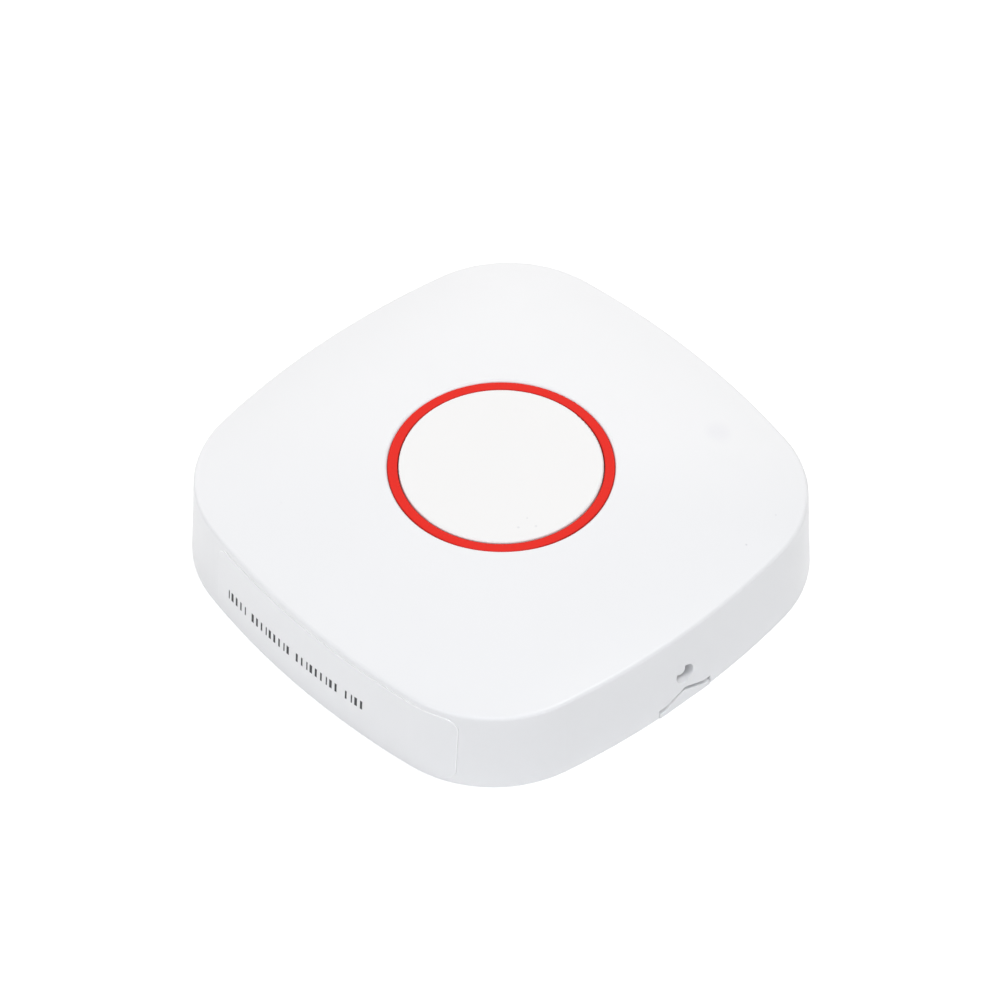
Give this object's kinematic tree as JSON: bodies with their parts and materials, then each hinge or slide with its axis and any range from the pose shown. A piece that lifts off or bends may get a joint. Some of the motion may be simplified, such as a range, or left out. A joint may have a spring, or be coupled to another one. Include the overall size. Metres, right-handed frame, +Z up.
{
  "type": "wireless panic button",
  "caption": "Small square wireless panic button: crowned white case, round push button in a red ring, side label, pry notch and lanyard eyelet.",
  "frame": {"origin": "middle of the base, at the height of the surface it stands on", "axes": "+Z up through the button, +X towards the wall with the lanyard eyelet and the pry notch, -Y towards the wall with the side label"},
  "size_m": [0.062, 0.0621, 0.0149],
  "materials": {
    "case_white": "fine satin moulding",
    "button_white": "smooth satin moulding",
    "ring_red": "smooth moulding",
    "label_white": "plain satin sticker",
    "board_green": "solder mask",
    "black_plastic": "moulded",
    "steel": "plated sheet",
    "cell_steel": "drawn nickel-plated can",
    "copper_wire": "drawn wire",
    "chip_ceramic": "fired ceramic",
    "lamp_clear": "clear moulding"
  },
  "bodies": {
    "case": {"front_cover": "case_white", "rear_cover": "case_white", "side_label": "label_white", "button_ring": "ring_red", "main_board": "board_green", "board_screws": "steel", "switch_body": "black_plastic", "switch_frame": "steel", "snap_dome": "steel", "switch_terminals": "steel", "coin_cell": "cell_steel", "battery_holder": "black_plastic", "negative_contact": "steel", "positive_contact": "steel", "status_led": "lamp_clear", "light_pipe": "lamp_clear", "radio_can": "steel", "processor": "black_plastic", "crystal": "steel", "capacitors": "chip_ceramic", "antenna": "copper_wire"},
    "button": {"button_cap": "button_white"},
    "plunger": {"switch_plunger": "black_plastic"}
  },
  "joints": [
    {"name": "button_press", "type": "slide", "parent": "case", "child": "button", "axis": [0, 0, -1], "range_m": [0, 0.0004], "stiffness_N_per_m": 5000},
    {"name": "switch_press", "type": "slide", "parent": "case", "child": "plunger", "axis": [0, 0, -1], "range_m": [0, 0.0004], "deforming": ["snap_dome"]}
  ],
  "couplings": [
    {"joint": "switch_press", "follows": "button_press", "ratio": 1}
  ]
}
